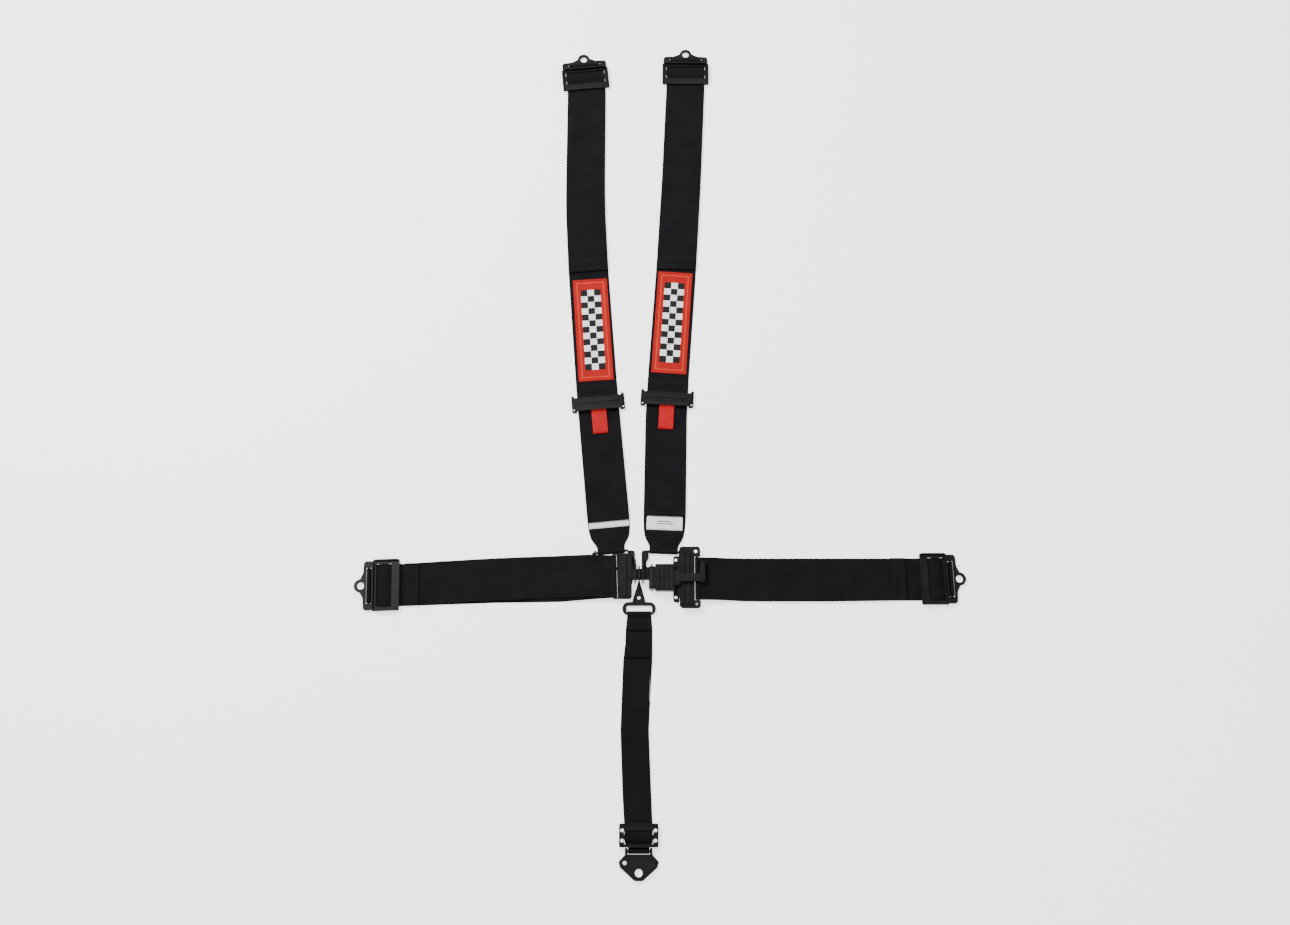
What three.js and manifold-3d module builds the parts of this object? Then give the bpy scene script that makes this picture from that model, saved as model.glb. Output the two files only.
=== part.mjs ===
// Five-point latch-and-link racing harness, laid flat. Millimetres, +Z up, +Y up the shoulder belts.
// The working origin is the middle of the tongue; the whole group is moved at the end so that the
// frame origin is the middle of the bounding box's floor.
import * as THREE from 'three';
import { mergeVertices } from 'three/addons/utils/BufferGeometryUtils.js';
import Module from 'manifold-3d';

const wasm = await Module();
wasm.setup();

// Driving dimensions.
const BELT = 76.2;
const CROTCH_BELT = 47.6;
const WEB = 1.6;
const GAP = 0.4;
const BAR_R = 2.2;
const BAR_Z = 4.3;
const PLATE = 3;
const TURN_R = BAR_R + GAP + WEB / 2;
const LOW = BAR_Z - TURN_R;
const FRONT = LOW + WEB + GAP;
const OVER_LABEL = FRONT + 0.6;
const TONGUE_Z = 12;
const NOSE = { y: 1, width: 20, thick: 3 };
const EYE_X = { left: -11.2, crotch: -4.3, right: 2.7 };
const SLIDE = { width: 92.5, length: 48, thick: 2, z: 5.1, slot: 77.2, flange: 12 };
const BRACKET = { width: 88, slot: 64, hole: 12.8, ring: 24, eye: 14.5 };
const ADJUSTER = { width: 98, height: 32.5, upper: 8, lock: -5, lower: -13, lowerZ: 7.3, lowerR: 1.3,
  coverZ: 9.2, coverFrom: -9.5, coverTo: 10.5 };

const COLOUR = {
  web: 0x1e1e21,
  steel: 0x18181a,
  dark: 0x121214,
  bright: 0x77787c,
  red: 0xd2202a,
  patch: 0xdc3a2c,
  label: 0xe6e6e2,
};

const group = new THREE.Group();
group.name = 'racing_harness';
const deg = Math.PI / 180;

// ---------- solids ----------
function toManifold(geometry) {
  const bare = geometry.clone();
  bare.deleteAttribute('normal');
  bare.deleteAttribute('uv');
  const merged = mergeVertices(bare, 1e-4);
  return new wasm.Manifold(new wasm.Mesh({
    numProp: 3,
    vertProperties: Float32Array.from(merged.attributes.position.array),
    triVerts: Uint32Array.from(merged.index.array),
  }));
}

function join(parts) {
  let solid = toManifold(parts[0]);
  for (const part of parts.slice(1)) {
    solid = solid.add(toManifold(part));
  }
  return solid;
}

function cut(solid, parts) {
  let left = solid;
  for (const part of parts) {
    left = left.subtract(toManifold(part));
  }
  return left;
}

function fromManifold(solid) {
  const mesh = solid.getMesh();
  const geometry = new THREE.BufferGeometry();
  const points = new Float32Array(mesh.vertProperties.length);
  points.set(mesh.vertProperties);
  geometry.setAttribute('position', new THREE.BufferAttribute(points, 3));
  geometry.setIndex(Array.from(mesh.triVerts));
  geometry.computeVertexNormals();
  return geometry;
}

function add(name, geometry, colour, roughness, metalness) {
  const material = new THREE.MeshStandardMaterial({ color: colour, roughness, metalness });
  const mesh = new THREE.Mesh(geometry, material);
  mesh.name = name;
  group.add(mesh);
  return mesh;
}

const addWeb = (name, geometry, colour = COLOUR.web) => add(name, geometry, colour, 0.9, 0);
const addSteel = (name, geometry, colour = COLOUR.steel) => add(name, geometry, colour, 0.42, 0.6);

function box(x0, x1, y0, y1, z0, z1) {
  const geometry = new THREE.BoxGeometry(x1 - x0, y1 - y0, z1 - z0);
  return geometry.translate((x0 + x1) / 2, (y0 + y1) / 2, (z0 + z1) / 2);
}

function bar(radius, x0, x1, y, z, sides = 16) {
  const geometry = new THREE.CylinderGeometry(radius, radius, x1 - x0, sides);
  return geometry.rotateZ(Math.PI / 2).translate((x0 + x1) / 2, y, z);
}

function peg(radius, x, y, z0, z1, sides = 24) {
  const geometry = new THREE.CylinderGeometry(radius, radius, z1 - z0, sides);
  return geometry.rotateX(Math.PI / 2).translate(x, y, (z0 + z1) / 2);
}

// A flat plate from corners [x, y, radius], with holes of the same form.
function outline(corners, steps = 4) {
  const points = [];
  const count = corners.length;
  corners.forEach(([x, y, radius = 0], i) => {
    const [px, py] = corners[(i + count - 1) % count];
    const [nx, ny] = corners[(i + 1) % count];
    const back = new THREE.Vector2(px - x, py - y).normalize();
    const ahead = new THREE.Vector2(nx - x, ny - y).normalize();
    const nearlyStraight = back.dot(ahead) < -0.9995;
    if (radius <= 0 || nearlyStraight) {
      points.push(new THREE.Vector2(x, y));
      return;
    }
    const half = Math.acos(THREE.MathUtils.clamp(back.dot(ahead), -1, 1)) / 2;
    const reach = radius / Math.tan(half);
    const start = new THREE.Vector2(x, y).addScaledVector(back, reach);
    const end = new THREE.Vector2(x, y).addScaledVector(ahead, reach);
    const centre = new THREE.Vector2(x, y)
      .addScaledVector(back.clone().add(ahead).normalize(), radius / Math.sin(half));
    const from = Math.atan2(start.y - centre.y, start.x - centre.x);
    let sweep = Math.atan2(end.y - centre.y, end.x - centre.x) - from;
    if (sweep > Math.PI) {
      sweep -= 2 * Math.PI;
    }
    if (sweep < -Math.PI) {
      sweep += 2 * Math.PI;
    }
    for (let k = 0; k <= steps; k += 1) {
      const angle = from + sweep * k / steps;
      const corner = new THREE.Vector2(Math.cos(angle), Math.sin(angle));
      points.push(corner.multiplyScalar(radius).add(centre));
    }
  });
  return points;
}

function plate(corners, z0, z1) {
  const shape = new THREE.Shape(outline(corners));
  const geometry = new THREE.ExtrudeGeometry(shape, { depth: z1 - z0, bevelEnabled: false });
  return geometry.translate(0, 0, z0);
}

function roundRect(x0, x1, y0, y1, radius) {
  return [[x0, y0, radius], [x1, y0, radius], [x1, y1, radius], [x0, y1, radius]];
}

// ---------- webbing ----------
// plan(s) gives the middle of the belt, the turn of its cross line and its width at distance s.
function planOf(keys) {
  return (s) => {
    let i = 0;
    while (i < keys.length - 2 && s > keys[i + 1].s) {
      i += 1;
    }
    const a = keys[i];
    const b = keys[i + 1];
    const t = (s - a.s) / (b.s - a.s);
    const held = THREE.MathUtils.clamp(t, 0, 1);
    return {
      x: a.x + (b.x - a.x) * t,
      y: a.y + (b.y - a.y) * t,
      turn: a.turn + (b.turn - a.turn) * held,
      width: a.width + (b.width - a.width) * held,
    };
  };
}

// side is the belt seen from its edge: [s, z, sideways shift, extra width].
function sweep(side, plan, thick = WEB) {
  const positions = [];
  const normals = side.map((_, i) => {
    const a = side[Math.max(0, i - 1)];
    const b = side[i];
    const c = side[Math.min(side.length - 1, i + 1)];
    const first = new THREE.Vector2(b[0] - a[0], b[1] - a[1]);
    const second = new THREE.Vector2(c[0] - b[0], c[1] - b[1]);
    const one = (i === 0 ? second : first).clone().normalize();
    const two = (i === side.length - 1 ? first : second).clone().normalize();
    const mean = one.clone().add(two).normalize();
    const stretch = 1 / Math.max(0.5, mean.dot(one));
    return [-mean.y * stretch, mean.x * stretch];
  });
  side.forEach(([s, z, shift = 0, extra = 0], i) => {
    const at = plan(s);
    const cross = new THREE.Vector3(Math.cos(at.turn * deg), Math.sin(at.turn * deg), 0);
    const along = new THREE.Vector3(-cross.y, cross.x, 0);
    const centre = new THREE.Vector3(at.x, at.y, z).addScaledVector(cross, shift);
    const normal = along.clone().multiplyScalar(normals[i][0]);
    normal.z += normals[i][1];
    const half = (at.width + extra) / 2;
    for (const [a, b] of [[-1, -1], [1, -1], [1, 1], [-1, 1]]) {
      const p = centre.clone().addScaledVector(cross, a * half).addScaledVector(normal, b * thick / 2);
      positions.push(p.x, p.y, p.z);
    }
  });
  const index = [];
  for (let i = 0; i < side.length - 1; i += 1) {
    for (let k = 0; k < 4; k += 1) {
      const a = i * 4 + k;
      const b = i * 4 + (k + 1) % 4;
      index.push(a, b, b + 4, a, b + 4, a + 4);
    }
  }
  const last = (side.length - 1) * 4;
  index.push(0, 2, 1, 0, 3, 2);
  index.push(last, last + 1, last + 2, last, last + 2, last + 3);
  const geometry = new THREE.BufferGeometry();
  geometry.setAttribute('position', new THREE.Float32BufferAttribute(positions, 3));
  geometry.setIndex(index);
  if (volume(geometry) < 0) {
    geometry.setIndex(index.reverse());
  }
  geometry.computeVertexNormals();
  return geometry;
}

function volume(geometry) {
  const p = geometry.attributes.position;
  const read = (i) => new THREE.Vector3().fromBufferAttribute(p, i);
  let total = 0;
  for (let i = 0; i < geometry.index.count; i += 3) {
    const [a, b, c] = [0, 1, 2].map((k) => read(geometry.index.getX(i + k)));
    total += a.dot(b.cross(c)) / 6;
  }
  return total;
}

// The turn round a bar at s, as seen from the edge. The belt comes in front at frontZ, goes over the
// bar and leaves underneath. away is +1 when the belt's turn is on the +s side of the bar.
function turn(s, z, away, radius = TURN_R, rise = 1.35, start = 5) {
  const points = [];
  const dist = Math.hypot(start, rise);
  const lean = Math.atan2(rise, start) + Math.asin(radius / dist);
  const steps = 10;
  const from = Math.PI / 2 + lean;
  const to = -Math.PI / 2;
  points.push([s - away * start, z - rise]);
  for (let k = 0; k <= steps; k += 1) {
    const angle = from + (to - from) * k / steps;
    points.push([s + away * radius * Math.cos(angle), z + radius * Math.sin(angle)]);
  }
  return points;
}

// Points of the tail as it threads a slide: under the end bars and over the middle one.
function thread(origin, away, slide, base = FRONT) {
  const high = SLIDE.z + SLIDE.thick / 2 + GAP + WEB / 2;
  const near = slide.first + 0.4;
  const far = slide.middle + slide.bar - 0.1;
  const list = [
    [near, base],
    [slide.middle + 0.1, high],
    [far, high],
    [slide.last - 0.4, base],
  ];
  return list.map(([d, z]) => [origin - away * d, z]);
}

function slideBars(length) {
  const gapLength = length * 0.2;
  const first = 6.2 + length * 0.14;
  const middle = first + gapLength;
  const barLength = length * 0.17;
  const last = middle + barLength + gapLength;
  return { start: 6.2, first, middle, bar: barLength, last, end: 6.2 + length };
}

// ---------- hardware ----------
// Everything here is made with the webbing bar on the x axis and the free end towards +y.
function bracket(width, slot, neck) {
  const half = width / 2;
  const inner = slot / 2;
  return [
    plate([[-half, -5.6, 1.5], [-inner, -5.6], [-inner, 4.8, 0.5], [inner, 4.8, 0.5], [inner, -5.6],
      [half, -5.6, 1.5], [half, 7.5, 2], [neck, 8.5], [-neck, 8.5], [-half, 7.5, 2]],
    BAR_Z - PLATE / 2, BAR_Z + PLATE / 2),
    bar(BAR_R, -inner - 2, inner + 2, 0, BAR_Z),
  ];
}

function lapBracket() {
  const low = BAR_Z - PLATE / 2;
  const high = BAR_Z + PLATE / 2;
  const half = BRACKET.width / 2;
  const radius = BRACKET.ring / 2;
  const flare = [[-half, 5.2, 0.5], [half, 5.2, 0.5], [half - 3, 9.4, 2], [23, 10.4, 12], [12.4, 15.5, 4],
    [-12.4, 15.5, 4], [-23, 10.4, 12], [-half + 3, 9.4, 2]];
  const tab = cut(join([plate(flare, low, high), peg(radius, 0, BRACKET.eye, low, high, 32)]), [
    box(-20, 20, -5, 5.2, 0, 10),
    peg(BRACKET.hole / 2, 0, BRACKET.eye, 0, 10, 28),
  ]);
  return join(bracket(BRACKET.width, BRACKET.slot, 14)).add(tab);
}

function crotchBracket() {
  const width = 46.3;
  const slot = 37.3;
  const parts = bracket(width, slot, 14);
  const low = BAR_Z - PLATE / 2;
  const high = BAR_Z + PLATE / 2;
  parts.push(plate([[-width / 2, 5.5], [width / 2, 5.5], [34, 17, 4], [31, 26, 4], [7, 47.3, 6],
    [-7, 47.3, 6], [-31, 26, 4], [-34, 17, 4]], low, high));
  const solid = join(parts);
  return cut(solid, [peg(6.35, 0, 34.5, 0, 10), peg(3.2, 23.5, 18.5, 0, 10, 16)]);
}

function slidePlate(width, length, slot, holes) {
  const rows = slideBars(length);
  const half = width / 2;
  const low = SLIDE.z - SLIDE.thick / 2;
  const high = SLIDE.z + SLIDE.thick / 2;
  const lip = SLIDE.flange;
  const body = join([
    plate(roundRect(-half, half, -rows.end, -rows.start, 2.5), low, high),
    box(-half + 4, half - 4, -rows.start - 2.2, -rows.start, low, lip),
    box(-half + 4, half - 4, -rows.end, -rows.end + 2.2, low, lip - 3.5),
    box(-half, -half + 2.2, -rows.end + 4, -rows.start - 4, low, lip - 2.5),
    box(half - 2.2, half, -rows.end + 4, -rows.start - 4, low, lip - 2.5),
  ]);
  const cuts = [
    plate(roundRect(-slot / 2, slot / 2, -rows.middle, -rows.first, 2), low - 1, high + 1),
    plate(roundRect(-slot / 2, slot / 2, -rows.last, -rows.middle - rows.bar, 2), low - 1, high + 1),
  ];
  for (const [x, y] of holes) {
    cuts.push(peg(2.9, x, y, low - 1, high + 1, 16));
  }
  return cut(body, cuts);
}

// place puts bar-frame geometry at [x, y], turned about z by turnDeg.
function place(solid, x, y, turnDeg) {
  return fromManifold(solid).rotateZ(turnDeg * deg).translate(x, y, 0);
}

// ---------- anchored belt end ----------
function anchorEnd(name, at, kind) {
  const crotch = kind === 'crotch';
  const slot = crotch ? 49.2 : SLIDE.slot;
  const width = crotch ? 66 : SLIDE.width;
  const length = crotch ? 38.4 : SLIDE.length;
  const rows = slideBars(length);
  const holeRows = [-rows.start - 11, -rows.end + 11];
  const holes = crotch ? [-27.9, 27.9].flatMap((x) => holeRows.map((y) => [x, y])) : [];
  const plateSolid = crotch ? crotchBracket() : lapBracket();
  addSteel(`${name}_anchor`, place(plateSolid, at.x, at.y, at.turn));
  addSteel(`${name}_slide`, place(slidePlate(width, length, slot, holes), at.x, at.y, at.turn));
}

// ---------- shoulder belts ----------
const SHOULDER = {
  left: {
    rail: { x: -53.8, y: 43.5 }, tilt: 5.3, gather: 49,
    adjuster: { x: -80.2, y: 325.1 }, adjusterTilt: 5.3,
    anchor: { x: -115.6, y: 1042.3 }, anchorTilt: 5.6,
    tail: 101, upperTail: 592, kinks: [[594, -101.7], [721, -108.6], [786, -109.6], [988, -114.4]],
    label: { from: 89, to: 122, width: 72 },
    patch: { x: -91.6, y: 472.3, tilt: 4.1 },
    ring: { x0: -84.2, x1: -11.6, side: 3.6 },
  },
  right: {
    rail: { x: 39.2, y: 43.5 }, tilt: -2.2, gather: 51,
    adjuster: { x: 47.2, y: 333.5 }, adjusterTilt: -3.2,
    anchor: { x: 87.6, y: 1053.7 }, anchorTilt: -0.6,
    tail: 110, upperTail: 596, kinks: [[381, 50.5], [594, 65.6], [786, 77.2], [988, 86.0]],
    label: { from: 84, to: 124, width: 64.4 },
    patch: { x: 57.1, y: 486.8, tilt: -4.0 },
    ring: { x0: 0, x1: 70.8, side: 4.8 },
  },
};

// A key at distance s with the belt's middle on the line through a bar.
function keysAt(origin, x, y, turnDeg, offsets) {
  return offsets.map(([d, width]) => ({
    s: origin + d,
    x: x - Math.sin(turnDeg * deg) * d,
    y: y + Math.cos(turnDeg * deg) * d,
    turn: turnDeg,
    width,
  }));
}

function shoulder(side) {
  const belt = SHOULDER[side];
  const name = (part) => `shoulder_${side}_${part}`;
  const lockAt = {
    x: belt.adjuster.x - Math.sin(belt.adjusterTilt * deg) * ADJUSTER.lock,
    y: belt.adjuster.y + Math.cos(belt.adjusterTilt * deg) * ADJUSTER.lock,
  };
  const upperAt = {
    x: belt.adjuster.x - Math.sin(belt.adjusterTilt * deg) * ADJUSTER.upper,
    y: belt.adjuster.y + Math.cos(belt.adjusterTilt * deg) * ADJUSTER.upper,
  };

  // Lower belt: sewn loop on the link, up behind, round the lock bar, tail down in front.
  const lowLength = Math.hypot(lockAt.x - belt.rail.x, lockAt.y - belt.rail.y);
  const lower = planOf([
    ...keysAt(0, belt.rail.x, belt.rail.y, belt.tilt,
      [[-6, belt.gather], [7, belt.gather], [12, belt.gather + 1], [30, BELT - 3]]),
    { s: 60, x: belt.rail.x - Math.sin(belt.tilt * deg) * 60, y: belt.rail.y + Math.cos(belt.tilt * deg) * 60,
      turn: belt.tilt, width: BELT },
    ...keysAt(lowLength, lockAt.x, lockAt.y, belt.adjusterTilt, [[-30, BELT], [8, BELT]]),
  ]);
  const tailAt = belt.tail - belt.rail.y;
  const lowerSide = [
    [38, FRONT],
    [22, FRONT],
    ...turn(0, BAR_Z, -1),
    [22, LOW],
    [44, LOW],
    [80, LOW],
    [lowLength * 0.5, LOW],
    [lowLength - 30, LOW],
    ...turn(lowLength, BAR_Z, 1).reverse(),
    [lowLength - 30, FRONT],
    [lowLength * 0.5, FRONT],
    [tailAt + 34, FRONT],
    [tailAt + 22, OVER_LABEL],
    [tailAt, OVER_LABEL],
  ];
  addWeb(name('lower_webbing'), sweep(lowerSide, lower));

  const labelAt = (y) => y - belt.rail.y;
  const label = planOf([
    ...keysAt(0, belt.rail.x, belt.rail.y, belt.tilt, [[0, belt.label.width], [200, belt.label.width]]),
  ]);
  addWeb(name('care_label'), sweep([
    [labelAt(belt.label.from), LOW + WEB / 2 + 0.5],
    [labelAt(belt.label.to), LOW + WEB / 2 + 0.5],
  ], label, 0.35), COLOUR.label);

  // Adjuster frame.
  const half = ADJUSTER.width / 2;
  const top = ADJUSTER.height / 2;
  const low = BAR_Z - PLATE / 2;
  const high = BAR_Z + PLATE / 2;
  const coverZ = ADJUSTER.coverZ;
  const pieces = [
    bar(BAR_R, -41, 41, ADJUSTER.upper, BAR_Z),
    bar(ADJUSTER.lowerR, -41.5, 41.5, ADJUSTER.lower, ADJUSTER.lowerZ, 12),
    plate(roundRect(-44.6, 44.6, ADJUSTER.coverFrom, ADJUSTER.coverTo, 2), coverZ, coverZ + 2),
    plate(roundRect(-38, 38, 0, 4.4, 1), coverZ + 1, coverZ + 3),
    plate(roundRect(-41, 41, -14.6, -7.5, 1), coverZ + 1.5, coverZ + 3),
  ];
  for (const way of [-1, 1]) {
    const ear = plate([[39.4, -top + 3, 1], [41, -top, 1.5], [half, -top, 3], [half, -2, 6], [48, 0, 6],
      [half, 2, 6], [half, top, 2.5], [43.5, top, 2], [42.4, 9, 1], [39.4, 7, 1]], low, high);
    const post = box(40.6, 44.6, ADJUSTER.coverFrom + 1, ADJUSTER.coverTo - 1, low, coverZ + 1);
    const lug = box(39.6, 42.4, ADJUSTER.lower - 2.6, ADJUSTER.lower + 2.6, low, ADJUSTER.lowerZ + 1.9);
    for (const piece of [ear, lug, post]) {
      if (way < 0) {
        piece.rotateY(Math.PI).translate(0, 0, 2 * BAR_Z);
      }
    }
    if (way < 0) {
      lug.translate(0, 0, ADJUSTER.lowerZ + 1.9 + low - 2 * BAR_Z);
      post.translate(0, 0, coverZ + 1 + low - 2 * BAR_Z);
    }
    pieces.push(ear, lug, post);
  }
  const frame = cut(join(pieces), [
    ...[-1, 1].map((way) => box(way * 40.6 - 2.2, way * 40.6 + 2.2, ADJUSTER.lock - 2.6, ADJUSTER.lock + 2.6,
      low - 1, coverZ - 0.6)),
    peg(1.8, -45.2, -10.6, low - 1, high + 1, 16),
    peg(1.8, 45.2, -10.6, low - 1, high + 1, 16),
  ]);
  const at = (solid) => place(solid, belt.adjuster.x, belt.adjuster.y, belt.adjusterTilt);
  addSteel(name('adjuster_frame'), at(frame));
  addSteel(name('lock_bar'), at(join([bar(BAR_R, -42, 42, ADJUSTER.lock, BAR_Z)])), COLOUR.dark);

  // Pull tab.
  const tabWidth = 27.5;
  const tabPlan = planOf(keysAt(0, belt.adjuster.x, belt.adjuster.y, belt.adjusterTilt,
    [[-80, tabWidth], [20, tabWidth]]));
  const tabTurn = turn(ADJUSTER.lower, ADJUSTER.lowerZ, 1, ADJUSTER.lowerR + 0.9, 0.6, 4);
  const tabEnd = ADJUSTER.lower - 47;
  addWeb(name('pull_tab'), sweep([
    [tabEnd, 6.7],
    [ADJUSTER.lower - 12, 6.7],
    ...tabTurn,
    [ADJUSTER.lower - 8, 5.1],
    [tabEnd, 5.1],
  ], tabPlan, 1.2), COLOUR.red);

  // Upper belt: sewn loop on the adjuster, up behind, through the slide and round the anchor's bar.
  const reach = Math.hypot(belt.anchor.x - upperAt.x, belt.anchor.y - upperAt.y);
  const rows = slideBars(SLIDE.length);
  const kinks = belt.kinks.map(([y, x]) => ({
    s: (y - upperAt.y) / (belt.anchor.y - upperAt.y) * reach,
    x,
    y,
    turn: (belt.adjusterTilt + belt.anchorTilt) / 2,
    width: BELT,
  }));
  const upper = planOf([
    ...keysAt(0, upperAt.x, upperAt.y, belt.adjusterTilt, [[-6, BELT], [34, BELT]]),
    ...kinks.filter((key) => key.s > 60 && key.s < reach - 70),
    ...keysAt(reach, belt.anchor.x, belt.anchor.y, belt.anchorTilt,
      [[-60, BELT], [-12.6, BELT], [-6.5, BRACKET.slot - 2.4], [8, BRACKET.slot - 2.4]]),
  ]);
  const middle = kinks.filter((key) => key.s > 60 && key.s < reach - 70).map((key) => key.s);
  const tailTop = (belt.upperTail - upperAt.y) / (belt.anchor.y - upperAt.y) * reach;
  const upperSide = [
    [27, FRONT],
    ...turn(0, BAR_Z, -1),
    [34, LOW],
    ...middle.map((s) => [s, LOW]),
    [reach - 60, LOW],
    [reach - rows.last, LOW],
    [reach - 12.6, LOW],
    [reach - 6.5, LOW],
    ...turn(reach, BAR_Z, 1).reverse(),
    ...thread(reach, 1, rows),
    [reach - rows.end - 6, FRONT],
    ...middle.filter((s) => s > tailTop + 20).reverse().map((s) => [s, FRONT]),
    [tailTop, FRONT],
  ];
  addWeb(name('upper_webbing'), sweep(upperSide, upper));

  const patch = plate(roundRect(-32.5, 32.5, -103, 103, 2), LOW + WEB / 2 + 0.3, LOW + WEB / 2 + 0.9);
  patch.rotateZ(belt.patch.tilt * deg).translate(belt.patch.x, belt.patch.y, 0);
  addWeb(name('patch'), patch, COLOUR.patch);
  anchorEnd(`shoulder_${side}`, { x: belt.anchor.x, y: belt.anchor.y, turn: belt.anchorTilt }, 'belt');

  // Link: eye plate round the tongue, flat ring, round rail in the belt's loop.
  const eyeX = EYE_X[side];
  const ring = belt.ring;
  const inward = side === 'left' ? ring.x1 : ring.x0;
  const sign = side === 'left' ? -1 : 1;
  const railTurn = (geometry) => geometry.translate(-belt.rail.x, -belt.rail.y, 0)
    .rotateZ(belt.tilt * deg).translate(belt.rail.x, belt.rail.y, 0);
  const innerEdge = inward + sign * 13;
  const outerEdge = side === 'left' ? ring.x0 : ring.x1;
  const ringPlate = plate([
    [eyeX - sign * 2.6, 10.5, 1], [outerEdge, 10.5, 4], [outerEdge, 46.2, 2.5], [inward, 46.2, 5],
    [inward, 30, 4], [eyeX - sign * 2.6, 20, 2],
  ], BAR_Z - PLATE / 2, BAR_Z + PLATE / 2);
  const slot = plate([
    [eyeX + sign * 6, 15.8, 2], [outerEdge - sign * ring.side, 15.8, 3], [outerEdge - sign * ring.side, 60],
    [innerEdge, 60], [innerEdge, 32, 4], [eyeX + sign * 6, 24, 2],
  ], 0, 12);
  const rail = railTurn(bar(BAR_R, Math.min(innerEdge, outerEdge) - 4, Math.max(innerEdge, outerEdge) + 1,
    belt.rail.y, BAR_Z));
  const eyePlate = box(eyeX - 1.5, eyeX + 1.5, -13.4, 15.4, 3, 18.4);
  const gusset = new THREE.ExtrudeGeometry(new THREE.Shape(
    [[12, 2.8], [30, 2.8], [30, 5.8], [15.4, 18.4], [12, 18.4]].map(([x, y]) => new THREE.Vector2(x, y)),
  ), { depth: 3, bevelEnabled: false });
  gusset.rotateX(Math.PI / 2).rotateZ(Math.PI / 2).translate(eyeX - 1.5, 0, 0);
  const outside = cut(join([ringPlate]), [slot]);
  const link = outside.add(toManifold(rail)).add(toManifold(eyePlate)).add(toManifold(gusset));
  const window = box(eyeX - 4, eyeX + 4, NOSE.y - 10.8, NOSE.y + 10.8, TONGUE_Z - 2.7, TONGUE_Z + 2.7);
  addSteel(name('link'), fromManifold(cut(link, [window])));
}

shoulder('left');
shoulder('right');

// ---------- lap belts ----------
const LAP = {
  left: { way: -1, bar: { x: -47.6, y: -2.0 }, anchor: { x: -481.7, y: -17.7 }, turn: 92.1,
    tail: 419, down: [40, 96], gather: 76, spread: 4.2 },
  right: { way: 1, bar: { x: 98.5, y: -5.8 }, anchor: { x: 547.7, y: -5.6 }, turn: -89.9,
    tail: 468, down: [22, 78], gather: 76, spread: 0 },
};

function lap(side) {
  const belt = LAP[side];
  const reach = Math.hypot(belt.anchor.x - belt.bar.x, belt.anchor.y - belt.bar.y);
  const rows = slideBars(SLIDE.length);
  const plan = planOf([
    ...keysAt(0, belt.bar.x, belt.bar.y, belt.turn, [[-6, belt.gather], [8, belt.gather], [30, BELT]]),
    ...keysAt(reach, belt.anchor.x, belt.anchor.y, belt.turn,
      [[-60, BELT], [-12.6, BELT], [-6.5, BRACKET.slot - 2.4], [8, BRACKET.slot - 2.4]]),
  ]);
  const lift = TONGUE_Z - BAR_Z;
  const [start, floor] = belt.down;
  const tailS = Math.abs(belt.way * belt.tail - belt.bar.x);
  const along = (s) => THREE.MathUtils.clamp(s / tailS, 0, 1);
  const fan = (s) => 2.5 * Math.sin(Math.PI * along(s)) + belt.spread * (1 - along(s)) ** 2;
  const edge = [
    [tailS, FRONT, 0],
    [tailS * 0.7, FRONT, fan(tailS * 0.7)],
    [tailS * 0.4, FRONT, fan(tailS * 0.4)],
    [floor + 4, FRONT, fan(floor)],
    [start + 4, FRONT + lift, belt.spread * 0.7],
    ...turn(0, TONGUE_Z, -1),
    [start, LOW + lift, -belt.spread * 0.3],
    [floor, LOW, -belt.spread * 0.6],
    [reach * 0.5, LOW],
    [reach - 60, LOW],
    [reach - rows.last, LOW],
    [reach - 12.6, LOW],
    [reach - 6.5, LOW],
    ...turn(reach, BAR_Z, 1).reverse(),
    ...thread(reach, 1, rows),
    [reach - rows.end - 2, FRONT],
  ];
  addWeb(`lap_${side}_webbing`, sweep(edge, plan));
  anchorEnd(`lap_${side}`, { x: belt.anchor.x, y: belt.anchor.y, turn: belt.turn }, 'belt');
}

lap('left');
lap('right');

// ---------- crotch belt ----------
const CROTCH = { rail: { x: -3.9, y: -67.2 }, anchor: { x: -4.2, y: -466.9 }, tail: 123.6 };

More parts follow.
